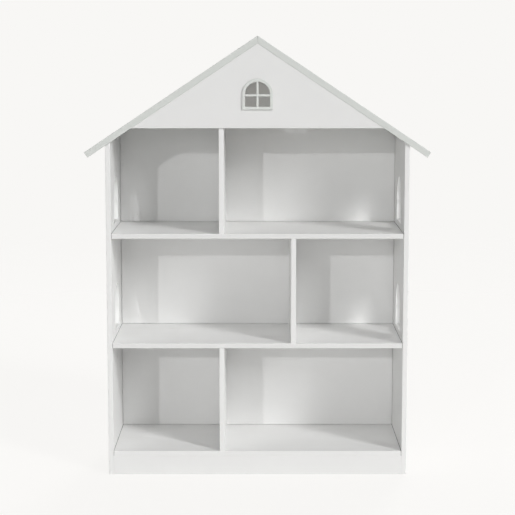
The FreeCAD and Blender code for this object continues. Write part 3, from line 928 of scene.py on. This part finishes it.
# Each lamp: azimuth to the right of straight ahead, elevation and width in the sky, all in
# degrees, and strength.
LAMPS = (
    ("Left spot", -20.0, 15.5, 1.2, 0.4),
    ("Right softbox", 46.0, 32.0, 10.0, 0.9),
    ("Right panel", 42.0, 20.0, 18.0, 0.8),
    ("Far right panel", 70.0, 15.0, 20.0, 0.3),
    ("Overhead panel", 0.0, 50.0, 18.0, 0.35),
    ("Front reflector", 0.0, 5.0, 20.0, 0.2),
    ("Left reflector", -30.0, 5.0, 20.0, 0.2),
    ("Rear panel", 165.0, 40.0, 12.0, 0.8),
)


FLOOR_RADIUS, FLOOR_DROP, FLOOR_FADE = 6.0, 0.5 * MM, (1.6, 5.0)    # metres
FLOOR_GLOW = 1.045
LAMP_DISTANCE = 3.0


def sun(name, azimuth, elevation, width, strength):
    """A far lamp that looks at the object from that direction."""
    data = bpy.data.lights.new(name, "SUN")
    data.energy, data.angle = strength, math.radians(width)
    made = bpy.data.objects.new(name, data)
    bpy.context.scene.collection.objects.link(made)
    a, e = math.radians(azimuth), math.radians(elevation)
    made.location = LAMP_DISTANCE * Vector((math.sin(a) * math.cos(e),
                                            -math.cos(a) * math.cos(e), math.sin(e)))
    made.rotation_euler = Vector(made.location).to_track_quat("Z", "Y").to_euler()
    return made


class DollhouseStage(Operator):
    """Sets the pale floor, the soft lights and the camera."""

    bl_idname = "dollhouse.studio"
    bl_label = "Studio"

    def execute(self, context):
        scene, sizes = context.scene, context.scene.dollhouse_studio
        scene.view_settings.view_transform = "Standard"
        self.floor(scene, sizes)
        self.room(scene, sizes)
        for name, azimuth, elevation, width, strength in LAMPS:
            sun(name, azimuth, elevation, width, strength * sizes.lamps)
        data = bpy.data.cameras.new("Camera")
        data.lens, data.sensor_width, data.shift_y = sizes.lens, 36.0, sizes.shift
        data.clip_start, data.clip_end = 0.1, 60.0
        camera = bpy.data.objects.new("Camera", data)
        scene.collection.objects.link(camera)
        camera.location = (0.0, -sizes.distance, sizes.height)
        camera.rotation_euler = (math.pi / 2 - sizes.tilt, 0.0, 0.0)
        scene.camera = camera
        return {"FINISHED"}

    def floor(self, scene, sizes):
        """A flat disc, the point (r cos a, r sin a, 0) for r up to the radius, that fades into
        the backdrop at its rim and lies a little under the bookcase's feet."""
        r = np.linspace(0.0, FLOOR_RADIUS, 25)[:, None]
        a = np.linspace(0.0, 2 * math.pi, 96, endpoint=False)[None, :]
        points = np.stack([r * np.cos(a), r * np.sin(a), r * 0 * a - FLOOR_DROP], -1)
        mesh = bpy.data.meshes.new("Floor")
        mesh.from_pydata(points.reshape(-1, 3).tolist(), [],
                         grid_faces(25, 96, False, True, 0).tolist())
        mesh.validate()
        material, tree, shader, place = new_material("Floor", tuple(sizes.backdrop))
        out = tree.nodes.new("ShaderNodeVectorMath")
        out.operation = "LENGTH"
        wire(tree, (place, out.inputs[0]))
        fade = spread(tree, out.outputs["Value"], *FLOOR_FADE, 1.0, 0.0, smooth=True)
        shader.inputs["Base Color"].default_value = (*sizes.backdrop, 1.0)
        shader.inputs["Roughness"].default_value = 0.9
        shader.inputs["Specular IOR Level"].default_value = 0.0
        glow = tree.nodes.new("ShaderNodeEmission")
        glow.inputs["Color"].default_value = (*sizes.backdrop, 1.0)
        glow.inputs["Strength"].default_value = FLOOR_GLOW
        seen = tree.nodes.new("ShaderNodeLightPath")
        faded = tree.nodes.new("ShaderNodeMixShader")
        clear = tree.nodes.new("ShaderNodeBsdfTransparent")
        even = tree.nodes.new("ShaderNodeMixShader")
        wire(tree, (sum_of(tree, seen.outputs["Is Camera Ray"], 1 - sizes.shadow, "MULTIPLY"),
                    even.inputs["Fac"]),
             (shader.outputs[0], even.inputs[1]), (glow.outputs[0], even.inputs[2]),
             (fade, faded.inputs["Fac"]), (clear.outputs[0], faded.inputs[1]),
             (even.outputs[0], faded.inputs[2]),
             (faded.outputs[0], tree.nodes["Material Output"].inputs["Surface"]))
        mesh.materials.append(material)
        made = bpy.data.objects.new("Floor", mesh)
        scene.collection.objects.link(made)

    def room(self, scene, sizes):
        """Light from all sides, stronger from behind and above where there are few lamps, with
        the backdrop's colour where the camera looks."""
        world = bpy.data.worlds.new("Studio")
        world.use_nodes = True
        tree = world.node_tree
        seen = tree.nodes.new("ShaderNodeBackground")
        lit = tree.nodes["Background"]
        seen.inputs["Color"].default_value = (*sizes.backdrop, 1.0)
        lit.inputs["Color"].default_value = (1.0, 1.0, 1.0, 1.0)
        behind = tree.nodes.new("ShaderNodeVectorMath")
        behind.operation = "DOT_PRODUCT"
        behind.inputs[1].default_value = (0.0, 0.8, 0.6)
        wire(tree, (tree.nodes.new("ShaderNodeTexCoord").outputs["Generated"], behind.inputs[0]),
             (spread(tree, behind.outputs["Value"], 0.5, 0.9, sizes.ambient, sizes.rear,
                     smooth=True), lit.inputs["Strength"]))
        path = tree.nodes.new("ShaderNodeLightPath")
        mix = tree.nodes.new("ShaderNodeMixShader")
        wire(tree, (path.outputs["Is Camera Ray"], mix.inputs["Fac"]),
             (lit.outputs[0], mix.inputs[1]), (seen.outputs[0], mix.inputs[2]),
             (mix.outputs[0], tree.nodes["World Output"].inputs["Surface"]))
        scene.world = world


# ---------------------------------------------------------------- panel and registration


PIECES = (DollhouseUprights, DollhouseShelves, DollhouseBacks, DollhouseRoof,
          DollhouseWindowFrames, DollhouseBattens, DollhouseCams, DollhouseDowels,
          DollhouseScrews, DollhouseStage)
SETTINGS = {
    "dollhouse_finishes": DollhouseFinishes,
    "dollhouse_windows": DollhouseWindows,
    "dollhouse_fittings": DollhouseFittings,
    "dollhouse_studio": DollhouseStudio,
}


class VIEW3D_PT_dollhouse(Panel):
    """Sizes, colours and steps of the dollhouse bookcase."""

    bl_idname = "VIEW3D_PT_dollhouse"
    bl_label = "Dollhouse Bookcase"
    bl_space_type = "VIEW_3D"
    bl_region_type = "UI"
    bl_category = "Dollhouse"

    def draw(self, context):
        for name, settings in SETTINGS.items():
            box = self.layout.box()
            for label in settings.__annotations__:
                box.prop(getattr(context.scene, name), label)
        for step in PIECES:
            self.layout.operator(step.bl_idname)


def register():
    for settings in SETTINGS.values():
        bpy.utils.register_class(settings)
    for name, settings in SETTINGS.items():
        setattr(bpy.types.Scene, name, PointerProperty(type=settings))
    for step in PIECES:
        bpy.utils.register_class(step)
    bpy.utils.register_class(VIEW3D_PT_dollhouse)


def unregister():
    bpy.utils.unregister_class(VIEW3D_PT_dollhouse)
    for step in reversed(PIECES):
        bpy.utils.unregister_class(step)
    for name, settings in SETTINGS.items():
        delattr(bpy.types.Scene, name)
        bpy.utils.unregister_class(settings)


def main():
    register()
    for step in PIECES:
        group, action = step.bl_idname.split(".")
        getattr(getattr(bpy.ops, group), action)()


if __name__ == "__main__":
    main()
